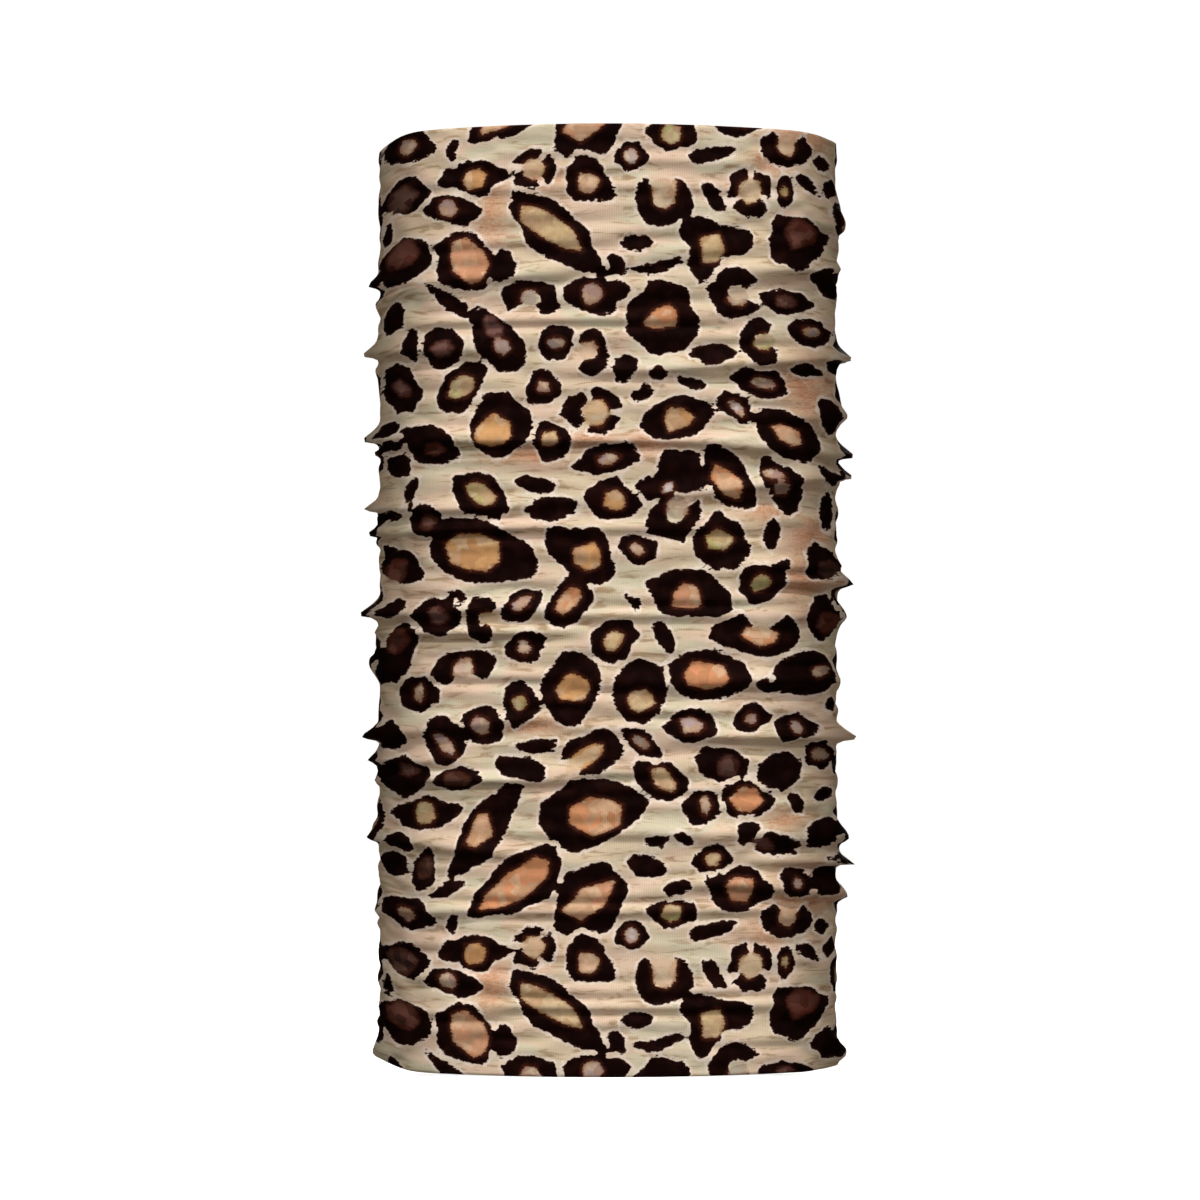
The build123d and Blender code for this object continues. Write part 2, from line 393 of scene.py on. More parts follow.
# Rosettes and flecks: u, v, length, width, tilt in degrees, form, and for a rosette its heart's colour,
# length, width, and unless they are nought its shift in u and v, and its turn from the spot's tilt
SPOTS = [
    (-107, 25, 30, 25, 0, "ring", "russet", 15, 12, -1, 4),
    (-74, 21, 35, 30, -40, "ring", "salmon", 22, 16, 2, 1, -10),
    (-54, 18, 15, 17, 0, "blob"),
    (-28, 37, 58, 26, -38, "ring", "tan", 41, 12, -2, 2, 3),
    (-9, 96, 44, 33, 40, "ring", "salmon", 28, 15, 0, 0, 5),
    (-47, 104, 57, 27, 35, "ring", "orange", 42, 13, 0, 0, 2),
    (-104, 86, 28, 18, -10, "ring", "lilac", 9, 7),
    (-80, 81, 13, 7, 80, "bean"),
    (-83, 101, 21, 7, 22, "blob"),
    (-95, 112, 24, 12, 75, "drop", "umber", 8, 5),
    (-112, 112, 16, 14, 0, "blob"),
    (-108, 125, 14, 10, 0, "blob"),
    (-105, 60, 26, 19, 0, "ring", "smoke", 13, 12, -3, -1),
    (-70, 67, 36, 18, 5, "leaf", "amber", 10, 12, 1, -1),
    (-81, 50, 34, 14, -12, "leaf", "lilac", 10, 7, -2, 1),
    (-116, 43, 13, 6, 85, "blob"),
    (-38, 70, 22, 22, 60, "broken", "tan", 10, 9),
    (-8, 61, 27, 22, -35, "drop", "peach", 11, 10, -2, 1),
    (12, 76, 17, 15, 0, "ring", "pearl", 6, 7),
    (28, 53, 28, 29, 92, "cup", "peach", 15, 12, 1, 4),
    (55, 55, 19, 9, -55, "blob"),
    (74, 59, 26, 24, 95, "broken", "tan", 12, 11),
    (92, 60, 18, 10, 80, "ring", "olive", 5, 3),
    (104, 65, 17, 6, -38, "blob"),
    (117, 66, 13, 7, 80, "blob"),
    (33, 88, 24, 17, -5, "ring", "olive", 9, 8),
    (36, 102, 15, 8, 10, "blob"),
    (68, 100, 34, 24, -10, "ring", "salmon", 13, 13),
    (54, 78, 27, 8, 15, "blob"),
    (98, 103, 18, 15, -45, "ring", "grey", 3, 4),
    (93, 83, 19, 28, 84, "cup", "peach", 11, 9, 0, 2),
    (112, 78, 9, 8, 0, "blob"),
    (114, 104, 20, 16, 0, "blob"),
    (54, 31, 37, 31, 0, "trefoil", "tan", 12, 17, 0, -3),
    (15, 30, 18, 9, 0, "leaf"),
    (26, 18, 27, 8, 192, "bean"),
    (4, 18, 13, 10, -70, "blob"),
    (99, 33, 33, 27, 20, "ring", "russet", 16, 13, 2, 5),
    (116, 14, 20, 16, 0, "blob"),
    (-114, 183, 18, 16, 0, "blob"),
    (-106, 161, 26, 24, 0, "ring", "mauve", 9, 5, 2, 4),
    (-77, 160, 27, 13, 5, "leaf", "umber", 11, 6),
    (-95, 141, 38, 16, 3, "leaf", "olive", 8, 11),
    (-84, 182, 28, 20, -50, "ring", "lilac", 16, 5, -1, -2),
    (-64, 189, 24, 20, -35, "ring", "lilac", 9, 7, -1),
    (-45, 201, 24, 19, 80, "ring", "olive", 6, 6),
    (-98, 206, 22, 20, 0, "ring", "grey", 4, 9),
    (-19, 210, 40, 30, 85, "ring", "amber", 14, 16, 2, -1),
    (-37, 178, 22, 8, 3, "leaf"),
    (-9, 174, 33, 23, 217, "cup", "amber", 20, 9, -3, -2),
    (-45, 166, 27, 13, -12, "blob"),
    (-63, 134, 55, 21, 52, "ring", "orange", 20, 12, -3, -1, 6),
    (-8, 142, 58, 34, 12, "leaf", "orange", 25, 20, 1, -1),
    (16, 208, 37, 26, 80, "ring", "tan", 11, 12, 1, -5),
    (43, 189, 26, 18, 5, "ring", "lilac", 10, 9),
    (17, 180, 26, 12, -38, "leaf", "grey", 9, 4),
    (28, 160, 32, 19, -28, "leaf", "tan", 14, 8, 0, 0, -17),
    (59, 168, 29, 18, -8, "ring", "smoke", 8, 7, 3, -1),
    (74, 193, 19, 16, 0, "ring", "lilac", 5, 4),
    (98, 188, 23, 14, 4, "drop", "grey", 5, 6),
    (111, 173, 17, 16, 0, "ring", "grey", 8, 6),
    (90, 164, 24, 20, 0, "blob"),
    (49, 146, 21, 18, 0, "ring", "lilac", 4, 10, 1),
    (73, 149, 29, 20, -5, "drop", "orange", 15, 11, -2),
    (72, 132, 16, 11, 70, "blob"),
    (86, 124, 29, 11, -15, "blob", "mauve", 9, 4, -6, 1),
    (98, 147, 14, 7, -62, "leaf"),
    (113, 151, 12, 7, 20, "blob"),
    (112, 130, 22, 14, 30, "blob"),
    (25, 127, 12, 7, 0, "blob"),
    (39, 128, 13, 6, -25, "blob"),
    (20, 114, 22, 11, -20, "leaf"),
    (54, 117, 22, 14, 14, "ring", "tan", 7, 6),
    (121, 115, 14, 5, 0, "blob"),
    (117, 201, 8, 6, 90, "blob"),
    (-116, 305, 20, 7, 0, "blob"),
    (-102, 316, 19, 8, 80, "bean"),
    (-93, 300, 24, 17, -45, "ring", "umber", 5, 5),
    (-66, 314, 35, 20, -32, "leaf", "olive", 16, 8, 1, 0, -4),
    (-37, 319, 21, 9, -12, "blob"),
    (-29, 306, 28, 13, 5, "leaf"),
    (-67, 283, 54, 35, -12, "leaf", "amber", 25, 19, -3),
    (-13, 281, 40, 26, -40, "ring", "amber", 13, 13, 3, -1),
    (-108, 276, 24, 19, -30, "ring", "russet", 9, 12, -4, -3),
    (-88, 249, 26, 21, 0, "ring", "mauve", 9, 8),
    (-79, 259, 14, 8, -20, "bean"),
    (-64, 247, 17, 25, -5, "cup", "tan", 8, 6, 3),
    (-44, 254, 24, 15, 38, "leaf", "lilac", 10, 5, 0, 1),
    (-20, 255, 32, 20, 47, "ring", "orange", 14, 8, 0, 2, 8),
    (-111, 254, 14, 8, 35, "blob"),
    (-110, 227, 38, 17, 60, "ring", "russet", 11, 8, 1, 8),
    (-43, 231, 20, 17, 0, "ring", "pearl", 6, 6),
    (-75, 220, 19, 35, -80, "cup", "lilac", 9, 10),
    (3, 235, 26, 21, 45, "ring", "tan", 11, 7, 0, 0, -5),
    (37, 326, 27, 24, 40, "blob", "pearl", 5, 4, -6, -9),
    (24, 317, 17, 15, 0, "blob"),
    (35, 303, 31, 25, 62, "cup", "grey", 12, 9, 1, 4),
    (4, 310, 29, 21, -15, "drop", "amber", 10, 9),
    (15, 284, 21, 15, -25, "ring", "pearl", 7, 4, 0, 0, -20),
    (59, 287, 31, 27, -70, "ring", "lime", 15, 11, -1, 2, 85),
    (85, 293, 17, 9, 80, "blob"),
    (111, 279, 20, 18, 0, "ring", "smoke", 8, 5, 3, -3),
    (81, 268, 30, 19, 38, "drop", "olive", 10, 7, -2, -1),
    (43, 260, 48, 25, -18, "leaf", "salmon", 14, 14, -2, -1),
    (13, 256, 11, 7, -60, "bean"),
    (29, 236, 20, 9, -62, "leaf"),
    (79, 239, 25, 43, 84, "cup", "orange", 9, 17, 0, -1),
    (112, 248, 24, 17, 85, "ring", "russet", 8, 10, 3, -2),
    (52, 216, 41, 28, -5, "ring", "orange", 19, 13, -2, 1),
    (103, 217, 34, 25, 20, "ring", "grey", 8, 4, 8, 2),
    (82, 211, 13, 8, -10, "blob"),
    (115, 306, 20, 8, 85, "blob"),
    (-112, 414, 17, 12, 75, "blob"),
    (-101, 397, 18, 9, -80, "blob"),
    (-85, 394, 23, 21, 0, "ring", "mauve", 10, 5),
    (-78, 417, 38, 8, -36, "blob"),
    (-57, 397, 41, 21, -54, "ring", "mauve", 12, 7, -2, 8),
    (-54, 394, 12, 9, -54, "blob", "lilac", 9, 6),
    (-108, 375, 32, 17, -65, "ring", "mauve", 12, 4, 0, 0, 15),
    (-76, 373, 31, 21, 45, "ring", "olive", 13, 11),
    (-114, 354, 12, 8, 0, "blob"),
    (-115, 345, 26, 9, 5, "blob"),
    (-110, 333, 17, 13, -45, "blob"),
    (-91, 342, 30, 22, -28, "ring", "russet", 9, 5, 2, -2, 20),
    (-56, 352, 38, 30, 80, "ring", "amber", 15, 17, -3, -3),
    (-33, 372, 20, 17, -50, "ring", "lilac", 6, 5),
    (-29, 343, 24, 19, -75, "ring", "tan", 9, 8, -1, 1),
    (-26, 396, 21, 17, -75, "ring", "grey", 9, 4, 0, -1, 75),
    (-8, 390, 17, 25, 187, "cup", "peach", 9, 8, -2, 1),
    (-6, 359, 27, 25, 0, "broken", "amber", 11, 14),
    (0, 332, 36, 16, 12, "leaf", "lilac", 10, 5),
    (-39, 420, 19, 31, -105, "cup", "lilac", 8, 8, -1),
    (-7, 422, 38, 18, -3, "leaf", "lilac", 9, 10, -1),
    (28, 408, 39, 37, 0, "ring", "orange", 17, 11, 0, 1, 20),
    (67, 423, 28, 26, 0, "cup", "grey", 10, 8, 1, -3),
    (93, 419, 26, 14, 0, "leaf", "mauve", 10, 4),
    (106, 404, 27, 14, 0, "leaf", "grey", 8, 4),
    (79, 397, 21, 26, 14, "cup", "olive", 10, 7, 2),
    (56, 390, 22, 11, 5, "drop"),
    (9, 382, 16, 12, 60, "blob"),
    (26, 379, 10, 8, 0, "blob"),
    (43, 374, 16, 6, -20, "blob"),
    (18, 368, 14, 7, 28, "blob"),
    (79, 375, 31, 16, -15, "leaf", "grey", 12, 4, 2, 0, 5),
    (103, 383, 17, 8, 0, "leaf"),
    (67, 361, 26, 13, -37, "leaf", "pearl", 10, 4, 0, 0, -12),
    (36, 355, 38, 23, 15, "ring", "amber", 14, 11),
    (93, 347, 40, 24, -30, "ring", "salmon", 14, 8),
    (115, 360, 21, 10, -75, "blob"),
    (119, 388, 12, 8, -45, "blob"),
    (62, 323, 39, 22, -55, "ring", "orange", 18, 11, -1, -3, 5),
    (90, 319, 35, 17, -57, "ring", "lilac", 9, 5, -4, 6, 50),
    (90, 318, 10, 8, 0, "blob", "grey", 7, 6),
    (115, 326, 14, 7, -45, "blob"),
    (126, 20, 22, 13, 80, "leaf"),
    (124, 50, 24, 14, 100, "ring", "olive", 8, 5),
    (127, 90, 20, 12, 75, "blob"),
    (126, 134, 26, 13, 95, "ring", "mauve", 9, 4),
    (124, 170, 18, 12, 80, "drop"),
    (127, 226, 20, 12, 90, "blob"),
    (125, 262, 26, 14, 85, "ring", "tan", 9, 5),
    (125, 299, 18, 11, 100, "leaf"),
    (126, 340, 24, 13, 80, "ring", "lilac", 8, 4),
    (126, 374, 18, 12, 90, "blob"),
    (125, 404, 20, 12, 95, "drop"),
]

# Areas where the ground turns orange and streaky: u, v, half width, half height
STREAKS = [
    (-61, 47, 10, 18),
    (-32, 66, 10, 8),
    (100, 98, 16, 18),
    (84, 76, 12, 8),
    (108, 92, 12, 10),
    (105, 290, 12, 14),
    (102, 270, 12, 18),
    (104, 372, 14, 18),
    (-40, 189, 20, 6),
    (-42, 335, 25, 6),
    (-12, 342, 16, 6),
    (92, 137, 14, 6),
    (20, 340, 15, 6),
    (85, 305, 18, 6),
]

HEART_COLOURS = {
    "orange": (201, 137, 97),
    "amber": (196, 148, 98),
    "salmon": (197, 144, 113),
    "peach": (205, 170, 140),
    "tan": (190, 165, 125),
    "olive": (165, 160, 110),
    "lime": (165, 165, 105),
    "lilac": (163, 143, 140),
    "grey": (142, 130, 124),
    "pearl": (186, 174, 170),
    "mauve": (105, 74, 68),
    "russet": (90, 45, 35),
    "umber": (60, 40, 30),
    "smoke": (62, 48, 42),
}


def linear(red, green, blue):
    """A colour given as it looks on screen, from 0 to 255, as the linear values that a shader takes."""
    channels = np.array([red, green, blue]) / 255
    return np.where(channels <= 0.04045, channels / 12.92, ((channels + 0.055) / 1.055) ** 2.4)


# How far the distances reach, how much of a spot's size its outlines reach, and how lumpy and barbed they are
FAR = 12.0
SPOT_REACH = 0.65
FIRST_SEED = 100
SPOT_LUMPS = 0.075
WAVES_ROUND = (2, 3, 4, 5, 7)
BARBS, BARB_WIDTH, BARB_LENGTHS = 3, 0.22, (0.06, 0.3)
OUTLINE_POINTS, ARC_POINTS = 48, 16

# Hearts have from 5 to 8 corners, unevenly spaced and unevenly far out
HEART_CORNERS, HEART_SPACING, HEART_CORNERS_REACH = (5, 9), 0.25, (0.88, 1.25)

# Two spots closer than a narrow gap squeeze each other, unless they have merged by more than this
NARROW_GAP, MERGED = 2.2, 1.0
SQUEEZE, SQUEEZED_WITHIN = 0.8, 2.0

# A cup is a ring with a gap in front, and a broken rosette three pieces of one: shares of a turn
ARC_PIECES = {"cup": [(0.09, 0.91)], "broken": [(0.01, 0.29), (0.34, 0.63), (0.69, 0.96)]}
ARC_INSIDE = {"cup": 0.3, "broken": 0.42}


def unit_outlines(form):
    """Closed outlines of a form that points along x, each about 2 long and 2 wide."""
    t = np.arange(OUTLINE_POINTS) / OUTLINE_POINTS * 2 * math.pi
    x, y = np.cos(t), np.sin(t)
    if form == "leaf":
        return [(x, y * np.abs(y) ** 0.45)]
    if form == "drop":
        return [(x, y * (0.95 - 0.43 * x))]
    if form == "bean":
        return [(x, 0.8 * y + 0.7 * (0.45 - x * x))]
    if form == "trefoil":
        reach = 0.9 + 0.24 * np.cos(3 * t - math.pi / 4)
        return [(x * reach, y * reach)]
    if form in ARC_PIECES:
        turns = [np.linspace(start, end, ARC_POINTS) * 2 * math.pi for start, end in ARC_PIECES[form]]
        reach = np.repeat([1.0, ARC_INSIDE[form]], ARC_POINTS)
        there_and_back = [np.concatenate([turn, turn[::-1]]) for turn in turns]
        return [(reach * np.cos(turn), reach * np.sin(turn)) for turn in there_and_back]
    return [(x, y * np.abs(y) ** 0.28)]


def swollen(x, y, waves, barbs):
    """An outline pushed in and out by a few waves round it, with a few barbs drawn out of it."""
    angle = np.arctan2(y, x)
    swell = 1 + sum(size / math.sqrt(k) * np.cos(k * angle + phase) for k, size, phase in waves)
    for at, size in barbs:
        away = np.abs((angle - at + math.pi) % (2 * math.pi) - math.pi)
        swell = swell + size * np.exp(-away / BARB_WIDTH)
    return x * swell, y * swell


def placed(x, y, length, width, tilt):
    """An outline at its size and tilt."""
    c, s = math.cos(math.radians(tilt)), math.sin(math.radians(tilt))
    x, y = x * length / 2, y * width / 2
    return np.stack([x * c - y * s, x * s + y * c], axis=-1)


def heart_outline(length, width, tilt, rng):
    """A heart is an angular patch with a few uneven corners."""
    corners = rng.integers(*HEART_CORNERS)
    uneven = rng.uniform(-HEART_SPACING, HEART_SPACING, corners)
    t = (np.arange(corners) + uneven) / corners * 2 * math.pi
    reach = rng.uniform(*HEART_CORNERS_REACH, corners)
    return placed(np.cos(t) * reach, np.sin(t) * reach, length, width, tilt)


def spot_shapes(number, length, width, tilt, form, heart):
    """A spot's dark outlines about its own place, and its heart's outline if it has one."""
    rng = np.random.default_rng(FIRST_SEED + number)
    waves = [(k, SPOT_LUMPS * rng.normal(), rng.uniform(0, 2 * math.pi)) for k in WAVES_ROUND]
    barbs = [(rng.uniform(-math.pi, math.pi), rng.uniform(*BARB_LENGTHS)) for _ in range(BARBS)]
    outlines = [placed(*swollen(x, y, waves, barbs), length, width, tilt) for x, y in unit_outlines(form)]
    if not heart:
        return outlines, None
    _, heart_length, heart_width, shift_u, shift_v, turn = (*heart, 0, 0, 0)[:6]
    return outlines, heart_outline(heart_length, heart_width, tilt + turn, rng) + (shift_u, shift_v)


def signed_distance(points, outline):
    """Distance from each point to a closed outline, negative inside it."""
    nearest = np.full(len(points), np.inf)
    inside = np.zeros(len(points), bool)
    for a, b in zip(outline, np.roll(outline, -1, axis=0)):
        edge, to_point = b - a, points - a
        along = np.clip(to_point @ edge / (edge @ edge), 0, 1)
        nearest = np.minimum(nearest, np.linalg.norm(to_point - along[:, None] * edge, axis=1))
        crosses = (a[1] > points[:, 1]) != (b[1] > points[:, 1])
        rise = b[1] - a[1] if b[1] != a[1] else 1e-9
        inside ^= crosses & (points[:, 0] < a[0] + edge[0] * (points[:, 1] - a[1]) / rise)
    return np.where(inside, -nearest, nearest)


def repeats(u, v):
    """The places of a spot: the print repeats up the cloth, and at the back it is half a drop off."""
    for across, drop in ((0, 0), (REPEAT_U, 0.5), (-REPEAT_U, 0.5)):
        for up in (-2, -1, 0, 1):
            yield u + across, v + (up + drop) * REPEAT_V


def near(cloth, u, v, reach):
    """Which points of the cloth lie within reach of (u, v), both across and up."""
    return np.flatnonzero((np.abs(cloth - (u, v)) < reach).all(axis=1))


def print_fields(cloth):
    """For each (u, v): distance to the dark spots and to their hearts, heart colour, and streakiness."""
    spot, neighbour, heart = (np.full(len(cloth), FAR) for _ in range(3))
    colour = np.tile(linear(*HEART_COLOURS["tan"]), (len(cloth), 1))
    streak = np.zeros(len(cloth))
    for number, (u, v, length, width, tilt, form, *of_heart) in enumerate(SPOTS):
        outlines, inner = spot_shapes(number, length, width, tilt, form, of_heart)
        reach = max(length, width) * SPOT_REACH + FAR
        for at_u, at_v in repeats(u, v):
            chosen = near(cloth, at_u, at_v, reach)
            local = cloth[chosen] - (at_u, at_v)
            to_spot = np.min([signed_distance(local, outline) for outline in outlines], axis=0)
            neighbour[chosen] = np.minimum(neighbour[chosen], np.maximum(spot[chosen], to_spot))
            spot[chosen] = np.minimum(spot[chosen], to_spot)
            if inner is not None:
                to_heart = signed_distance(local, inner)
                colour[chosen[to_heart < heart[chosen]]] = linear(*HEART_COLOURS[of_heart[0]])
                heart[chosen] = np.minimum(heart[chosen], to_heart)
    for u, v, half_width, half_height in STREAKS:
        for at_u, at_v in repeats(u, v):
            across, up = ((cloth - (at_u, at_v)) / (half_width, half_height)).T
            streak = np.maximum(streak, np.exp(-(across**2 + up**2)))
    crowding = NARROW_GAP - spot - neighbour
    squeezed = (crowding > 0) & (crowding < NARROW_GAP + MERGED) & (spot > -SQUEEZED_WITHIN)
    return spot + np.where(squeezed, SQUEEZE * crowding, 0), heart, colour, streak


# ---------------------------------------------------------------- tube

PANEL_ROWS = 296
INNER_COLUMNS, OUTER_PER_INNER = 109, 2


def strip(first, second):
    """Quads between two rows of vertex numbers."""
    return [(first[i], first[i + 1], second[i + 1], second[i]) for i in range(len(first) - 1)]


def layer_faces(top, under):
    """Quads of two grids of vertex numbers that lie back to back."""
    faces = []
    for low, high in zip(top, top[1:]):
        faces += strip(low, high)
    for low, high in zip(under, under[1:]):
        faces += strip(high, low)
    return faces


def side_faces(top, under):
    """Quads that join two such layers along their first and last columns."""
    first = strip([row[0] for row in top], [row[0] for row in under])
    return first + strip([row[-1] for row in under], [row[-1] for row in top])


def stepped_strip(fine, coarse):
    """Faces between a row of outer vertex numbers and the coarser inner row beside it."""
    faces = []
    for i in range(len(coarse) - 1):
        start = OUTER_PER_INNER * i
        faces.append((*fine[start : start + OUTER_PER_INNER + 1], coarse[i + 1], coarse[i]))
    return faces


def add_attribute(mesh, name, kind, values):
    """Store one value per vertex under a name that the material reads."""
    attribute = mesh.attributes.new(name, kind, "POINT")
    field = {"FLOAT": "value", "FLOAT_VECTOR": "vector", "FLOAT_COLOR": "color"}[kind]
    attribute.data.foreach_set(field, np.asarray(values, float).reshape(-1))


def panel_layer(cloth, columns, side):
    """One face of the fabric: its places (u, v), its points, and its grid of vertex numbers."""
    u = np.linspace(-PERIMETER / 2 + BUTT_GAP / 2, PERIMETER / 2 - BUTT_GAP / 2, columns)
    places = np.stack(np.meshgrid(u, np.linspace(0, CUT_LENGTH, PANEL_ROWS)), axis=-1).reshape(-1, 2)
    points = cloth.above(*places.T, np.full(len(places), side * FABRIC_THICKNESS / 2))
    if side < 0:
        points -= cloth.kept_back(*places.T)
    return places, points, np.arange(len(places)).reshape(PANEL_ROWS, columns)


def tube_panel(cloth):
    """The printed panel: an outer and a coarser inner layer, closed along the rims and the butted edges."""
    places, outer, index = panel_layer(cloth, (INNER_COLUMNS - 1) * OUTER_PER_INNER + 1, 1)
    inner_places, inner, inside = panel_layer(cloth, INNER_COLUMNS, -1)
    index, inside = index.tolist(), (inside + len(outer)).tolist()
    faces = layer_faces(index, inside)
    faces += [face[::-1] for face in stepped_strip(index[0], inside[0])]
    faces += stepped_strip(index[-1], inside[-1])
    faces += side_faces(index, inside)
    panel = mesh_object("printed_tube", np.concatenate([outer, inner]), faces)
    cloth_places = np.concatenate([places, inner_places])
    spot, heart, colour, streak = print_fields(cloth_places)
    blank = np.zeros(len(cloth_places))
    mesh = panel.data
    add_attribute(mesh, "spot", "FLOAT", spot)
    add_attribute(mesh, "heart", "FLOAT", heart)
    add_attribute(mesh, "streak", "FLOAT", streak)
    add_attribute(mesh, "outside", "FLOAT", np.repeat([1.0, 0.0], [len(outer), len(inner)]))
    add_attribute(mesh, "heart_colour", "FLOAT_COLOR", np.c_[colour, blank + 1])
    add_attribute(mesh, "cloth", "FLOAT_VECTOR", np.c_[cloth_places, blank])
    mesh.shade_smooth()
    return panel


# ---------------------------------------------------------------- materials

RIB_PITCH, ROW_PITCH = 0.9, 0.65
PLY_PITCH, PICK_PITCH, WOVEN_EDGE = 0.55, 0.32, (11.3, 11.9)
SPOT_INSET, HEART_INSET = 0.05, -0.7
GHOST_SHARE = 0.16


class Nodes:
    """Short names for building a node tree."""

    def __init__(self, name):
        self.material = bpy.data.materials.new(name)
        self.material.use_nodes = True
        self.tree = self.material.node_tree
        self.shader = self.tree.nodes["Principled BSDF"]

    def add(self, kind, settings=None, **inputs):
        node = self.tree.nodes.new("ShaderNode" + kind)
        for key, value in (settings or {}).items():
            setattr(node, key, value)
        for key, value in inputs.items():
            self.set(node.inputs[int(key[1:]) if key[1:].isdigit() else key.replace("_", " ")], value)
        return node

    def set(self, socket, value):
        if isinstance(value, bpy.types.NodeSocket):
            self.tree.links.new(value, socket)
        else:
            socket.default_value = value

    def attribute(self, name, output="Fac"):
        return self.add("Attribute", {"attribute_name": name}).outputs[output]

    def math(self, operation, a, b=0.0, c=0.0):
        return self.add("Math", {"operation": operation}, i0=a, i1=b, i2=c).outputs[0]

    def vector(self, operation, a, b):
        return self.add("VectorMath", {"operation": operation}, i0=a, i1=b).outputs[0]

    def noise(self, where, scale, detail=2.0, roughness=0.5, distortion=0.0):
        values = {"Scale": scale, "Detail": detail, "Roughness": roughness, "Distortion": distortion}
        return self.add("TexNoise", Vector=where, **values).outputs["Fac"]

    def ramp(self, value, low, high, to_low=0.0, to_high=1.0):
        """A smooth step of value from low to high."""
        smooth = {"interpolation_type": "SMOOTHSTEP"}
        return self.add("MapRange", smooth, i0=value, i1=low, i2=high, i3=to_low, i4=to_high).outputs[0]

    def mix(self, share, a, b, blend="MIX"):
        node = self.tree.nodes.new("ShaderNodeMix")
        node.data_type, node.blend_type = "RGBA", blend
        self.set(node.inputs[0], share)
        for socket, value in ((node.inputs[6], a), (node.inputs[7], b)):
            self.set(socket, value if isinstance(value, bpy.types.NodeSocket) else (*value, 1.0))
        return node.outputs[2]

    def bump(self, height, strength, distance):
        return self.add("Bump", Height=height, Strength=strength, Distance=distance).outputs[0]

    def shade(self, **inputs):
        """Give the shader's sockets values, which are the same all over, or the outputs of nodes."""
        for key, value in inputs.items():
            self.set(self.shader.inputs[key.replace("_", " ")], value)


INKS = {
    "beige": (207, 187, 158),
    "pink": (212, 184, 160),
    "green grey": (200, 190, 163),
    "brown stroke": (156, 128, 96),
    "pale stroke": (222, 202, 184),
    "orange": (188, 124, 86),
    "hair": (128, 84, 50),
    "halo": (224, 208, 194),
    "black": (13, 1, 0),
    "brown black": (30, 8, 4),
    "outer edge": (50, 21, 12),
    "inner edge": (66, 28, 16),
    "pale facet": (196, 172, 142),
    "brown facet": (150, 100, 66),
    "mottle": (158, 120, 80),
    "heart rim": (120, 78, 52),
    "red facet": (122, 86, 74),
    "dark facet": (52, 24, 18),
    "wrong side": (228, 224, 217),
}


def ink(name):
    return linear(*INKS[name])


def ragged_distances(n, cloth):
    """Distances to the dark spots and to their hearts, unevened so that both get ragged edges."""
    ragged = n.ramp(n.noise(cloth, 0.045, 1.0), 0.46, 0.60)
    fine = n.math("SUBTRACT", n.noise(cloth, 1.0, 2.0, 0.6), 0.5)
    torn = n.math("SUBTRACT", n.noise(n.vector("MULTIPLY", cloth, (0.6, 1.4, 1.0)), 0.45, 2.0), 0.5)
    wide = n.math("SUBTRACT", n.noise(cloth, 0.28, 2.0), 0.5)
    wobble = n.math("MULTIPLY_ADD", fine, n.math("MULTIPLY_ADD", ragged, 0.6, 0.5), SPOT_INSET)
    wobble = n.math("MULTIPLY_ADD", wide, 3.0, wobble)
    wobble = n.math("MULTIPLY_ADD", torn, n.math("MULTIPLY_ADD", ragged, 3.0, 0.9), wobble)
    to_spot = n.math("ADD", n.attribute("spot"), wobble)
    to_heart = n.math("ADD", n.attribute("heart"), HEART_INSET)
    to_heart = n.math("MULTIPLY_ADD", torn, 2.5, n.math("MULTIPLY_ADD", fine, 1.6, to_heart))
    return to_spot, to_heart


def ground_colour(n, cloth, to_spot, to_heart):
    """Beige drifting to pink and to a pale green grey, in short level strokes, with halos round the spots."""
    strokes = n.vector("MULTIPLY", cloth, (0.6, 1.5, 1.0))
    drift = n.noise(strokes, 0.03, 3.0, 0.55, 0.6)
    other = n.noise(n.vector("ADD", strokes, (310.0, 90.0, 0.0)), 0.035, 3.0, 0.55, 0.4)
    ground = n.mix(n.ramp(drift, 0.42, 0.58), ink("beige"), ink("pink"))
    ground = n.mix(n.ramp(other, 0.50, 0.62), ground, ink("green grey"))
    streaks = n.noise(n.vector("MULTIPLY", cloth, (0.35, 1.8, 1.0)), 0.16, 4.0, 0.6, 0.8)
    ground = n.mix(n.ramp(streaks, 0.50, 0.68, 0.0, 0.85), ground, ink("brown stroke"))
    ground = n.mix(n.ramp(streaks, 0.45, 0.30, 0.0, 0.5), ground, ink("pale stroke"))
    hair = n.noise(n.vector("MULTIPLY", cloth, (0.5, 1.6, 1.0)), 0.55, 4.0, 0.7, 1.5)
    streak = n.attribute("streak")
    ground = n.mix(n.math("MULTIPLY", streak, n.ramp(hair, 0.35, 0.6, 0.35, 0.9)), ground, ink("orange"))
    hairs = n.math("MULTIPLY", n.ramp(streak, 0.2, 0.7), n.ramp(hair, 0.58, 0.66, 0.0, 0.6))
    ground = n.mix(hairs, ground, ink("hair"))
    uneven = n.ramp(n.noise(cloth, 0.2, 1.0), 0.35, 0.6, 0.3, 0.85)
    halo = n.math("MULTIPLY", n.ramp(to_spot, 2.0, 0.8), uneven)
    halo = n.math("MULTIPLY", halo, n.ramp(to_heart, 0.3, 2.0))
    return n.mix(halo, ground, ink("halo"))


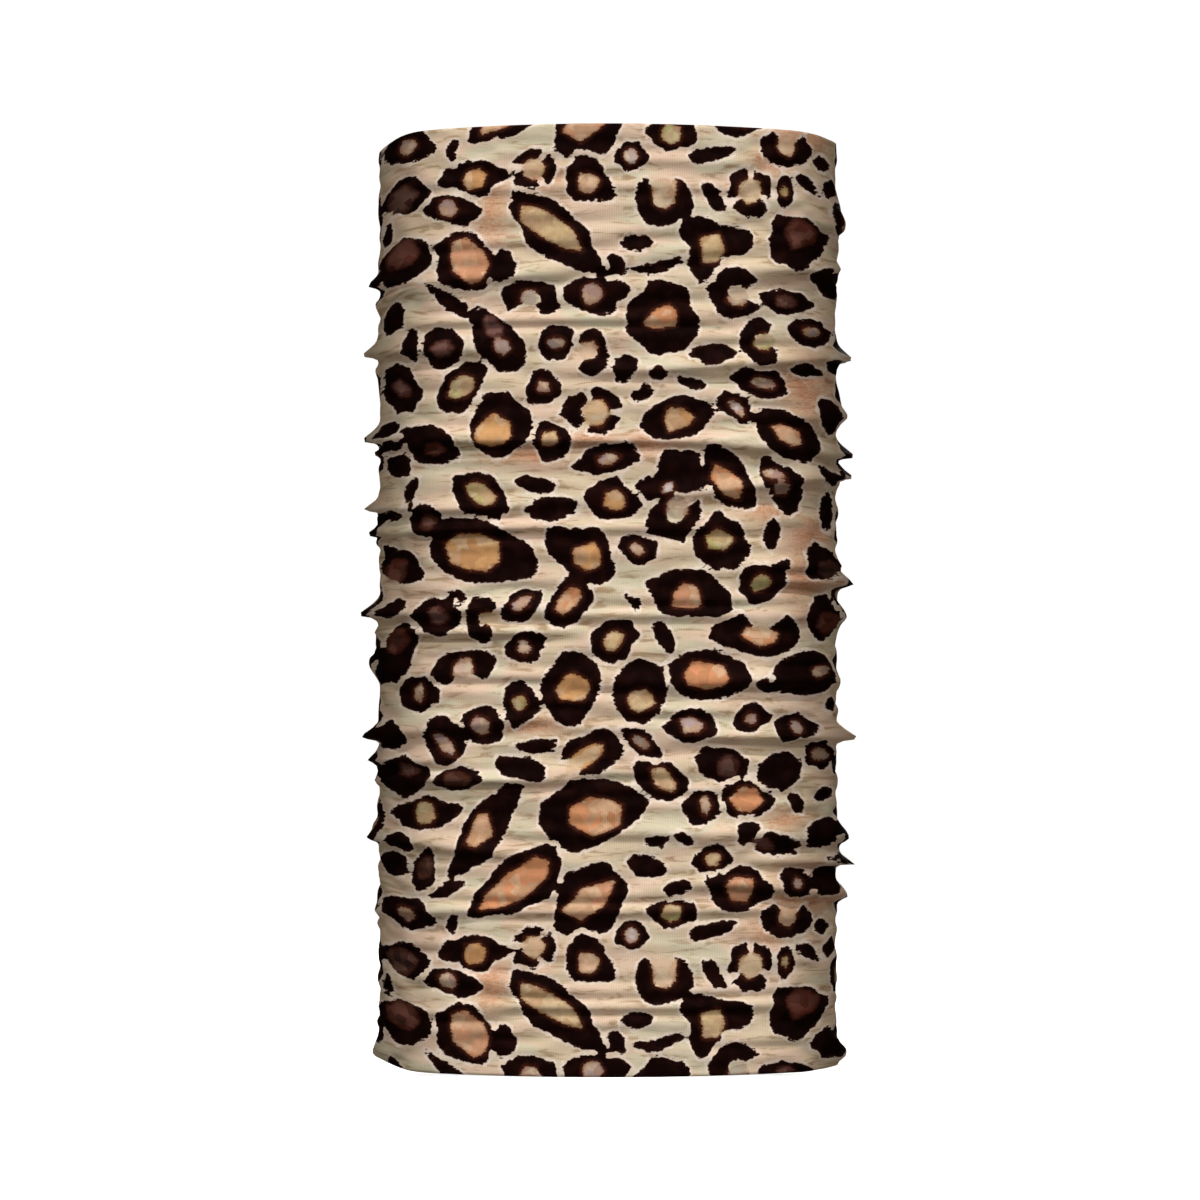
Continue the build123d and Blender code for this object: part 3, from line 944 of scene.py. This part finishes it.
def spot_colour(n, cloth, to_spot, to_heart):
    """Nearly black, browner in patches, along the ragged edges and round the hearts."""
    dark = n.mix(n.ramp(n.noise(cloth, 0.1, 2.0), 0.45, 0.65, 0.0, 0.6), ink("black"), ink("brown black"))
    dark = n.mix(n.ramp(n.math("ABSOLUTE", to_spot), 1.4, 0.2, 0.0, 0.6), dark, ink("outer edge"))
    return n.mix(n.ramp(to_heart, 2.4, 0.2, 0.0, 0.7), dark, ink("inner edge"))


def heart_colour(n, cloth, own, lightness, rim):
    """Facets of the heart's own colour, of a paler and of a browner one; dark hearts have darker facets."""
    facets = n.add("SeparateXYZ", i0=n.add("TexVoronoi", Vector=cloth, Scale=0.17).outputs["Color"])
    heart = n.mix(n.ramp(facets.outputs[0], 0.50, 0.54, 0.0, 0.6), own, ink("pale facet"))
    heart = n.mix(n.ramp(facets.outputs[1], 0.60, 0.64, 0.0, 0.35), heart, ink("brown facet"))
    heart = n.mix(n.ramp(n.noise(cloth, 0.25, 2.0), 0.35, 0.7, 0.0, 0.4), heart, ink("mottle"))
    heart = n.mix(rim, heart, ink("heart rim"))
    dim = n.mix(n.ramp(facets.outputs[0], 0.45, 0.6, 0.0, 0.45), own, ink("red facet"))
    dim = n.mix(n.ramp(facets.outputs[1], 0.55, 0.7, 0.0, 0.6), dim, ink("dark facet"))
    return n.mix(n.ramp(lightness, 0.14, 0.3), dim, heart)


def print_colour(n, cloth):
    """The leopard print: dark spots on the ground, and hearts in the spots, softer the darker they are."""
    to_spot, to_heart = ragged_distances(n, cloth)
    in_spot = n.ramp(to_spot, 0.25, -0.25)
    ground = ground_colour(n, cloth, to_spot, to_heart)
    colour = n.mix(in_spot, ground, spot_colour(n, cloth, to_spot, to_heart))
    own = n.attribute("heart_colour", "Color")
    lightness = n.add("SeparateXYZ", i0=own).outputs[0]
    rim = n.math("MULTIPLY", n.ramp(to_heart, -1.5, 0.0, 0.0, 0.6), in_spot)
    softness = n.ramp(lightness, 0.04, 0.3, 2.2, 0.3)
    in_heart = n.ramp(to_heart, softness, n.math("MULTIPLY", softness, -1.0))
    in_heart = n.math("MULTIPLY", in_heart, n.math("MULTIPLY_ADD", in_spot, 0.45, 0.55))
    return n.mix(in_heart, colour, heart_colour(n, cloth, own, lightness, rim))


def knit_relief(n, cloth):
    """Fine ribs up the cloth and rows across it, and the fuzz of the brushed knit's fibres."""
    place = n.add("SeparateXYZ", i0=cloth)
    ribs = n.math("SINE", n.math("MULTIPLY", place.outputs[0], 2 * math.pi / RIB_PITCH))
    rows = n.math("SINE", n.math("MULTIPLY", place.outputs[1], 2 * math.pi / ROW_PITCH))
    knit = n.math("MULTIPLY_ADD", ribs, 0.7, n.math("MULTIPLY", rows, 0.3))
    return n.math("ADD", knit, n.noise(cloth, 2.2, 2.0))


def printed_knit():
    """The jersey: printed outside, and unprinted on its wrong side with the print ghosting through."""
    n = Nodes("printed_knit")
    cloth = n.attribute("cloth", "Vector")
    colour = print_colour(n, cloth)
    ghost = n.mix(GHOST_SHARE, ink("wrong side"), colour)
    colour = n.mix(n.ramp(n.attribute("outside"), 0.35, 0.75), ghost, colour)
    knit = knit_relief(n, cloth)
    # The knit's relief also darkens the colour a little where it is low: painted shade in its grooves.
    knit_groove_shade = n.math("MULTIPLY_ADD", knit, 0.018, 0.965)
    knit_groove_shade = n.add("CombineColor", i0=knit_groove_shade, i1=knit_groove_shade, i2=knit_groove_shade).outputs[0]
    rough = n.ramp(n.noise(cloth, 0.15, 3.0), 0.3, 0.7, 0.72, 0.88)
    n.shade(Base_Color=n.mix(1.0, colour, knit_groove_shade, "MULTIPLY"), Roughness=rough, Specular_IOR_Level=0.04)
    n.shade(Normal=n.bump(knit, 0.35, 0.00012), Sheen_Weight=0.006, Sheen_Roughness=0.4)
    return n.material


def thread_material(name, colour, glow):
    """Sewing thread: two plies twisted together, each a stripe round the thread, with painted shade in the
    grooves between them.
    """
    n = Nodes(name)
    place = n.add("SeparateXYZ", i0=n.attribute("thread", "Vector"))
    along, around = place.outputs[0], place.outputs[1]
    twist = n.math("MULTIPLY_ADD", along, 2 * math.pi / PLY_PITCH, n.math("MULTIPLY", around, 4 * math.pi))
    ply = n.math("MULTIPLY_ADD", n.math("SINE", twist), 0.5, 0.5)
    where = n.attribute("thread", "Vector")
    # Where the plies dip into their grooves the colour falls to under half: painted shade in the grooves
    # between the plies.
    shade = n.mix(n.ramp(ply, 0.0, 0.8), [c * 0.45 for c in colour], colour)
    shade = n.mix(n.ramp(n.noise(where, 0.8, 2.0), 0.4, 0.7, 0.0, 0.35), shade, glow)
    n.shade(Base_Color=shade, Roughness=n.ramp(ply, 0.0, 1.0, 0.75, 0.5))
    n.shade(Normal=n.bump(ply, 0.6, 0.00006), Sheen_Weight=0.1)
    return n.material


def label_material():
    """Woven satin tape: fine picks across it, a soft shine and a plain woven edge, with painted shade in the
    weave's hollows.
    """
    n = Nodes("label_satin")
    place = n.attribute("tape", "Vector")
    axes = n.add("SeparateXYZ", i0=place)
    picks = n.math("SINE", n.math("MULTIPLY", axes.outputs[0], 2 * math.pi / PICK_PITCH))
    floats = n.noise(n.vector("MULTIPLY", place, (8.0, 0.8, 1.0)), 1.0, 2.0)
    weave = n.math("MULTIPLY_ADD", picks, 0.4, floats)
    edge = n.ramp(n.math("ABSOLUTE", axes.outputs[1]), *WOVEN_EDGE)
    # The tape's grey runs darker where the weave is low, as painted shade, and lighter on its raised floats.
    colour = n.mix(n.ramp(weave, 0.2, 0.9), (0.66, 0.65, 0.61), (0.80, 0.79, 0.76))
    colour = n.mix(edge, colour, (0.70, 0.68, 0.63))
    n.shade(Base_Color=colour, Roughness=n.ramp(weave, 0.2, 0.9, 0.5, 0.34))
    n.shade(Normal=n.bump(weave, 0.4, 0.00008), Sheen_Weight=0.05)
    return n.material


# ---------------------------------------------------------------- seam and label

SEAM_U = PERIMETER / 2
NEEDLE_GAUGE = 4.8
STITCH_PITCH = 3.0
SEAM_MARGIN = 4.5
THREAD_RADIUS = 0.17
OUTER_HOP, INNER_HOP, STITCH_DIVE = 0.32, 0.16, 0.25
HOP_SHAPE, POINTS_PER_STITCH = 0.5, 8
SWING_PAST_NEEDLE, SWING_SHAPE, POINTS_PER_SWING, CROSSING_RISE = 0.35, 0.8, 6, 0.16
TUBE_SIDES = 6
BARTACK_WIDTH, BARTACK_HEIGHT, BARTACK_FROM_RIM, BARTACK_STITCHES = 8.0, 1.6, 2.1, 9
BARTACK_RISE, POINTS_PER_BAR = 0.1, 10


def thread_piece(name, paths, radius, material):
    """One piece made of round threads that follow paths of points."""
    vertices, faces, places = [], [], []
    for path in paths:
        ahead = np.gradient(path, axis=0)
        ahead /= np.linalg.norm(ahead, axis=1, keepdims=True)
        steps = np.linalg.norm(np.diff(path, axis=0), axis=1)
        travelled = np.concatenate([[0], np.cumsum(steps)])
        side = np.cross(ahead[0], (0.3, 0.2, 0.93))
        start = sum(len(v) for v in vertices)
        rings = []
        for centre, forward in zip(path, ahead):
            side = side - forward * (side @ forward)
            side = side / np.linalg.norm(side)
            up = np.cross(forward, side)
            angles = np.arange(TUBE_SIDES) / TUBE_SIDES * 2 * math.pi
            rings.append(centre + radius * (np.cos(angles)[:, None] * side + np.sin(angles)[:, None] * up))
        vertices.append(np.concatenate(rings))
        around = np.tile(np.arange(TUBE_SIDES) / TUBE_SIDES, len(path))
        places.append(np.stack([np.repeat(travelled, TUBE_SIDES), around, np.zeros(len(around))], axis=-1))
        faces += [tuple(start + i for i in f) for f in ring_faces(len(path), TUBE_SIDES)]
        last = start + (len(path) - 1) * TUBE_SIDES
        faces.append(tuple(range(start + TUBE_SIDES - 1, start - 1, -1)))
        faces.append(tuple(range(last, last + TUBE_SIDES)))
    piece = mesh_object(name, np.concatenate(vertices), faces)
    add_attribute(piece.data, "thread", "FLOAT_VECTOR", np.concatenate(places))
    piece.data.shade_smooth()
    piece.data.materials.append(material)
    return piece


def zigzag_path(cloth, side):
    """A thread that swings between the needle lines, outside the cloth (+1) or inside it (-1)."""
    swings = 2 * int((CUT_LENGTH - 2 * SEAM_MARGIN) / STITCH_PITCH)
    t = np.linspace(0, swings, POINTS_PER_SWING * swings + 1)
    triangle = 2 * np.abs(t % 2 - 1) - 1
    swing = np.sign(triangle) * np.abs(np.sin(triangle * math.pi / 2)) ** SWING_SHAPE
    u = SEAM_U + swing * (NEEDLE_GAUGE / 2 + SWING_PAST_NEEDLE)
    v = SEAM_MARGIN + t * STITCH_PITCH / 2 + SWING_PAST_NEEDLE * np.sin(math.pi * t)
    height = FABRIC_THICKNESS / 2 + THREAD_RADIUS + CROSSING_RISE * (1 - triangle**4)
    return cloth.above(u, v, side * height)


def needle_path(cloth, line, step_off, side):
    """A needle thread's stitches on one face: it rises over each stitch and dives between them."""
    stitches = int((CUT_LENGTH - 2 * SEAM_MARGIN) / STITCH_PITCH) - (1 if step_off else 0)
    t = np.linspace(0, stitches, POINTS_PER_STITCH * stitches + 1)
    v = SEAM_MARGIN + step_off + t * STITCH_PITCH
    hop = np.abs(np.sin(math.pi * t)) ** HOP_SHAPE
    rise = OUTER_HOP if side > 0 else INNER_HOP
    height = FABRIC_THICKNESS / 2 + THREAD_RADIUS * 1.2 + rise * hop - STITCH_DIVE * (1 - hop)
    return cloth.above(SEAM_U + line * NEEDLE_GAUGE / 2, v, side * height)


def bartack_paths(cloth, v_middle):
    """Close side-by-side stitches across the seam's end, on both faces of the cloth."""
    t = np.linspace(0, BARTACK_STITCHES, POINTS_PER_BAR * BARTACK_STITCHES + 1)
    triangle = 2 * np.abs(t % 2 - 1) - 1
    u = SEAM_U + triangle * BARTACK_WIDTH / 2
    v = v_middle + (t / BARTACK_STITCHES - 0.5) * BARTACK_HEIGHT
    height = FABRIC_THICKNESS / 2 + 0.9 * THREAD_RADIUS + BARTACK_RISE * (1 - triangle**6)
    return [cloth.above(u, v, side * height) for side in (1, -1)]


def seam(cloth):
    """The flat seam's four threads and the bartacks at its ends, each standing for its CAD node."""
    thread = thread_material("seam_thread", (0.040, 0.024, 0.018), (0.13, 0.09, 0.07))
    pieces = {
        "seam_cover_thread": [zigzag_path(cloth, 1)],
        "seam_looper_thread": [zigzag_path(cloth, -1)],
        "upper_bartack_thread": bartack_paths(cloth, CUT_LENGTH - BARTACK_FROM_RIM),
        "lower_bartack_thread": bartack_paths(cloth, BARTACK_FROM_RIM),
    }
    # Past the centre back u runs against x, so the left line, at -x, is the one at greater u
    for name, line in (("left", 1), ("right", -1)):
        step_off = STITCH_PITCH / 2 if name == "left" else 0.0
        paths = [needle_path(cloth, line, step_off, side) for side in (1, -1)]
        pieces[f"seam_{name}_needle_thread"] = paths
    for node, paths in pieces.items():
        piece = thread_piece(node.replace("_thread", "_stitches"), paths, THREAD_RADIUS, thread)
        ride(piece, node)


LABEL_LENGTH, LABEL_WIDTH = 34.0, 25.0
LABEL_FROM_SEAM, LABEL_FROM_RIM = 4.2, 30.0
LABEL_THICKNESS = 0.18
LABEL_TACK_INSET, LABEL_TACKS = 2.0, 7
TACK_OUTER_HOP, TACK_INNER_HOP, TACK_CLEARANCE = 0.12, 0.15, 0.02
LABEL_GAP, LABEL_OPENS, LABEL_CLEARANCE = 0.25, 1.5, 0.12
FOLD_LENGTH, FOLD_DEPTH, FOLD_INSET = 1.2, 0.1, 0.15
LABEL_POINTS_ALONG, LABEL_POINTS_ACROSS = 97, 27


def label_middle(cloth, along, across):
    """The middle of the label's tape: out along the cloth, round the fold, and back over itself."""
    half = LABEL_LENGTH
    back = along > half
    reach = np.where(back, 2 * half - along, along)
    open_up = np.clip(reach / half, 0, 1) ** 2
    gap = LABEL_GAP + LABEL_OPENS * open_up * np.where(back, 1.0, 0.0)
    fold = bell(along - half, FOLD_LENGTH)
    depth = FABRIC_THICKNESS / 2 + LABEL_CLEARANCE + np.where(back, gap, 0.0) * (1 - fold)
    depth = depth + fold * (FOLD_DEPTH + gap / 2)
    u = SEAM_U - LABEL_FROM_SEAM - np.minimum(reach, half - FOLD_INSET)
    v = (LABEL_FROM_RIM + across) * CUT_LENGTH / HEIGHT
    return cloth.above(u, v, -depth)


def care_label(cloth):
    """The blank label, a loop of satin tape with its cut ends tacked beside the seam."""
    along = np.linspace(0, 2 * LABEL_LENGTH, LABEL_POINTS_ALONG)
    across = np.linspace(0, LABEL_WIDTH, LABEL_POINTS_ACROSS)
    grid_along, grid_across = np.meshgrid(along, across)
    middle = label_middle(cloth, grid_along, grid_across)
    tangent_along, tangent_across = np.gradient(middle, axis=1), np.gradient(middle, axis=0)
    normal = np.cross(tangent_along, tangent_across)
    normal /= np.linalg.norm(normal, axis=-1, keepdims=True)
    layers = [middle + normal * side * LABEL_THICKNESS / 2 for side in (1, -1)]
    rows, columns = grid_along.shape
    top, under = np.arange(2 * rows * columns).reshape(2, rows, columns).tolist()
    faces = layer_faces(top, under) + side_faces(top, under)
    faces += strip(under[0], top[0]) + strip(top[-1], under[-1])
    label = mesh_object("satin_label", np.stack(layers), faces)
    tape = np.stack([grid_along, grid_across - LABEL_WIDTH / 2, np.zeros_like(grid_along)], axis=-1)
    add_attribute(label.data, "tape", "FLOAT_VECTOR", np.tile(tape.reshape(-1, 3), (2, 1)))
    label.data.shade_smooth()
    label.data.materials.append(label_material())
    ride(label, "care_label")
    return label


def label_tack(cloth):
    """The row of stitches through the label's ends and the cloth."""
    t = np.linspace(0, LABEL_TACKS, POINTS_PER_STITCH * LABEL_TACKS + 1)
    across = (LABEL_WIDTH - LABEL_TACKS * STITCH_PITCH) / 2 + t * STITCH_PITCH
    v = (LABEL_FROM_RIM + across) * CUT_LENGTH / HEIGHT
    u = SEAM_U - LABEL_FROM_SEAM - LABEL_TACK_INSET
    hop = np.abs(np.sin(math.pi * t)) ** HOP_SHAPE
    outer = FABRIC_THICKNESS / 2 + TACK_OUTER_HOP * hop + TACK_CLEARANCE
    inner = FABRIC_THICKNESS / 2 + LABEL_CLEARANCE + LABEL_GAP + LABEL_THICKNESS / 2 + TACK_INNER_HOP * hop
    thread = thread_material("label_thread", (0.62, 0.60, 0.56), (0.75, 0.73, 0.70))
    paths = [cloth.above(u, v, outer), cloth.above(u, v, -inner)]
    piece = thread_piece("label_tack_stitches", paths, THREAD_RADIUS, thread)
    ride(piece, "label_tack_thread")


def ride(piece, node):
    """Put a piece on the tube's one body, in place of its CAD node."""
    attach(piece, "root")
    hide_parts(node)


# ---------------------------------------------------------------- studio

VIEW_DISTANCE = 5.0
FRAME_HEIGHT = 0.6197
CAMERA_X, CAMERA_HEIGHT = -0.004, 0.2452


def camera():
    """Face on to the tube, level with its middle, as a long lens sees it."""
    data = bpy.data.cameras.new("camera")
    data.sensor_width = 36.0
    data.lens = data.sensor_width * VIEW_DISTANCE / FRAME_HEIGHT
    view = bpy.data.objects.new("camera", data)
    bpy.context.scene.collection.objects.link(view)
    view.location = (CAMERA_X, -VIEW_DISTANCE, CAMERA_HEIGHT)
    view.rotation_euler = (math.radians(90), 0, 0)
    bpy.context.scene.camera = view


FLOOR_RADIUS, CURVE_RADIUS, WALL_HEIGHT = 5.5, 1.5, 9.0
BACKDROP_SIDES, BACKDROP_RINGS, BACKDROP_GLOW = 64, 12, 0.85
WORLD_COLOUR, WORLD_LIGHT = (1.0, 0.92, 0.83, 1.0), 0.225

# Key lights: degrees to the right of straight ahead, degrees above level, and power in watts
KEYS = [(-6, 20, 0.05), (-4, 40, 0.22), (4, 62, 0.39)]
LIT_MIDDLE = (0, 0, 0.25)
KEY_DISTANCE, KEY_SIZE, KEY_SPREAD = 1.6, (0.2, 0.8), 2.6
BACK_PLACE, BACK_SIZE, BACK_POWER = (0.3, 1.9, 1.1), (0.9, 0.9), 24


def soft_light(name, place, target, size, power, spread=180):
    """A soft box that faces the target; size is its width and height, spread what its grid lets out."""
    data = bpy.data.lights.new(name, "AREA")
    data.shape, data.size, data.size_y, data.energy = "RECTANGLE", *size, power
    data.spread = math.radians(spread)
    light = bpy.data.objects.new(name, data)
    bpy.context.scene.collection.objects.link(light)
    light.location = place
    light.rotation_euler = (Vector(target) - Vector(place)).to_track_quat("-Z", "Y").to_euler()


def backdrop():
    """A lit white floor that curves up into a wall all round, and throws no light on the tube."""
    turn = np.linspace(0.1, math.pi / 2, BACKDROP_RINGS)
    floor, curve = np.linspace(0.001, FLOOR_RADIUS, BACKDROP_RINGS), CURVE_RADIUS * np.sin(turn)
    radii = np.concatenate([floor, FLOOR_RADIUS + curve, [FLOOR_RADIUS + CURVE_RADIUS]])
    curve_heights = CURVE_RADIUS - CURVE_RADIUS * np.cos(turn)
    heights = np.concatenate([np.zeros(BACKDROP_RINGS), curve_heights, [WALL_HEIGHT]])
    angles = np.arange(BACKDROP_SIDES) / BACKDROP_SIDES * 2 * math.pi
    away = radii[:, None]
    points = grid_points(away * np.cos(angles), away * np.sin(angles), heights[:, None])
    bowl = mesh_object("backdrop", points / MM, ring_faces(len(radii), BACKDROP_SIDES))
    bowl.data.shade_smooth()
    n = Nodes("backdrop_paper")
    cloudy = n.noise(n.add("TexCoord").outputs["Object"], 3.0)
    paper = n.mix(cloudy, (0.93, 0.93, 0.93), (0.95, 0.95, 0.95))
    n.shade(Base_Color=paper, Roughness=0.9, Specular_IOR_Level=0.1)
    n.shade(Emission_Color=(1, 1, 1, 1), Emission_Strength=BACKDROP_GLOW)
    bowl.data.materials.append(n.material)
    bowl.visible_diffuse = bowl.visible_glossy = False


def studio():
    """Gridded soft boxes for the front, which let the sides fall off, a back light and a dim world."""
    backdrop()
    middle = Vector(LIT_MIDDLE)
    for number, (turn, elevation, power) in enumerate(KEYS):
        turn, elevation = math.radians(turn), math.radians(elevation)
        level = math.cos(elevation)
        away = Vector((math.sin(turn) * level, -math.cos(turn) * level, math.sin(elevation)))
        soft_light(f"key_{number + 1}", middle + away * KEY_DISTANCE, middle, KEY_SIZE, power, KEY_SPREAD)
    soft_light("back", BACK_PLACE, middle, BACK_SIZE, BACK_POWER)
    world = bpy.data.worlds.new("studio")
    world.use_nodes = True
    background = world.node_tree.nodes["Background"]
    background.inputs["Color"].default_value = WORLD_COLOUR
    background.inputs["Strength"].default_value = WORLD_LIGHT
    bpy.context.scene.world = world
    bpy.context.scene.view_settings.view_transform = "Standard"


# ---------------------------------------------------------------- build

camera()
cloth_surface = Cloth(simulate_cloth())
tube = tube_panel(cloth_surface)
tube.data.materials.append(printed_knit())
ride(tube, "tube_panel")
seam(cloth_surface)
care_label(cloth_surface)
label_tack(cloth_surface)
studio()
